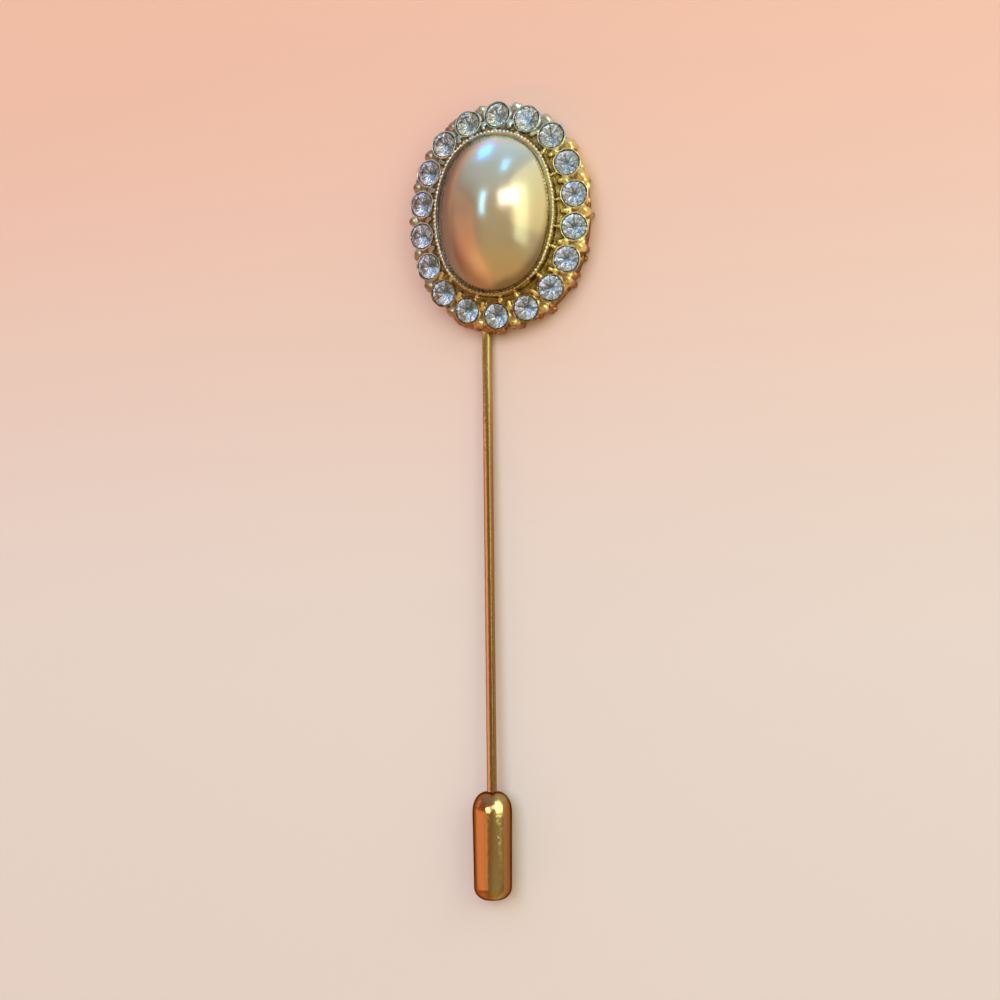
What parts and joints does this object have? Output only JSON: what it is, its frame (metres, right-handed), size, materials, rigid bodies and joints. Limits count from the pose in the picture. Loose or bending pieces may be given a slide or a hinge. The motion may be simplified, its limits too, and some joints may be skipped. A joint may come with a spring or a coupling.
{
  "type": "stick pin",
  "caption": "Gold-tone stick pin: an oval domed pearl in a bezel ringed with round clear stones, on a long wire stem with a push-on guard cap over its point.",
  "frame": {"origin": "centre of the head's flat back", "axes": "+Z out of the face, +Y towards the top of the head, the stem along -Y; the pin lies on its back"},
  "size_m": [0.0176, 0.0722, 0.0066],
  "materials": {
    "gold_metal": "polished gold-tone plating",
    "cap_metal": "polished gold-tone plating",
    "pearl": "pearl lustre",
    "stone": "polished, foil backed"
  },
  "bodies": {
    "pin": {"setting_and_stem": "gold_metal", "pearl": "pearl", "stone_01": "stone", "stone_02": "stone", "stone_03": "stone", "stone_04": "stone", "stone_05": "stone", "stone_06": "stone", "stone_07": "stone", "stone_08": "stone", "stone_09": "stone", "stone_10": "stone", "stone_11": "stone", "stone_12": "stone", "stone_13": "stone", "stone_14": "stone", "stone_15": "stone", "stone_16": "stone", "stone_17": "stone", "stone_18": "stone"},
    "cap": {"cap": "cap_metal"}
  },
  "joints": [
    {"name": "cap_slide", "type": "slide", "parent": "pin", "child": "cap", "axis": [0.0262, -0.9993, 0.0257], "range_m": [0, 0.02]}
  ]
}
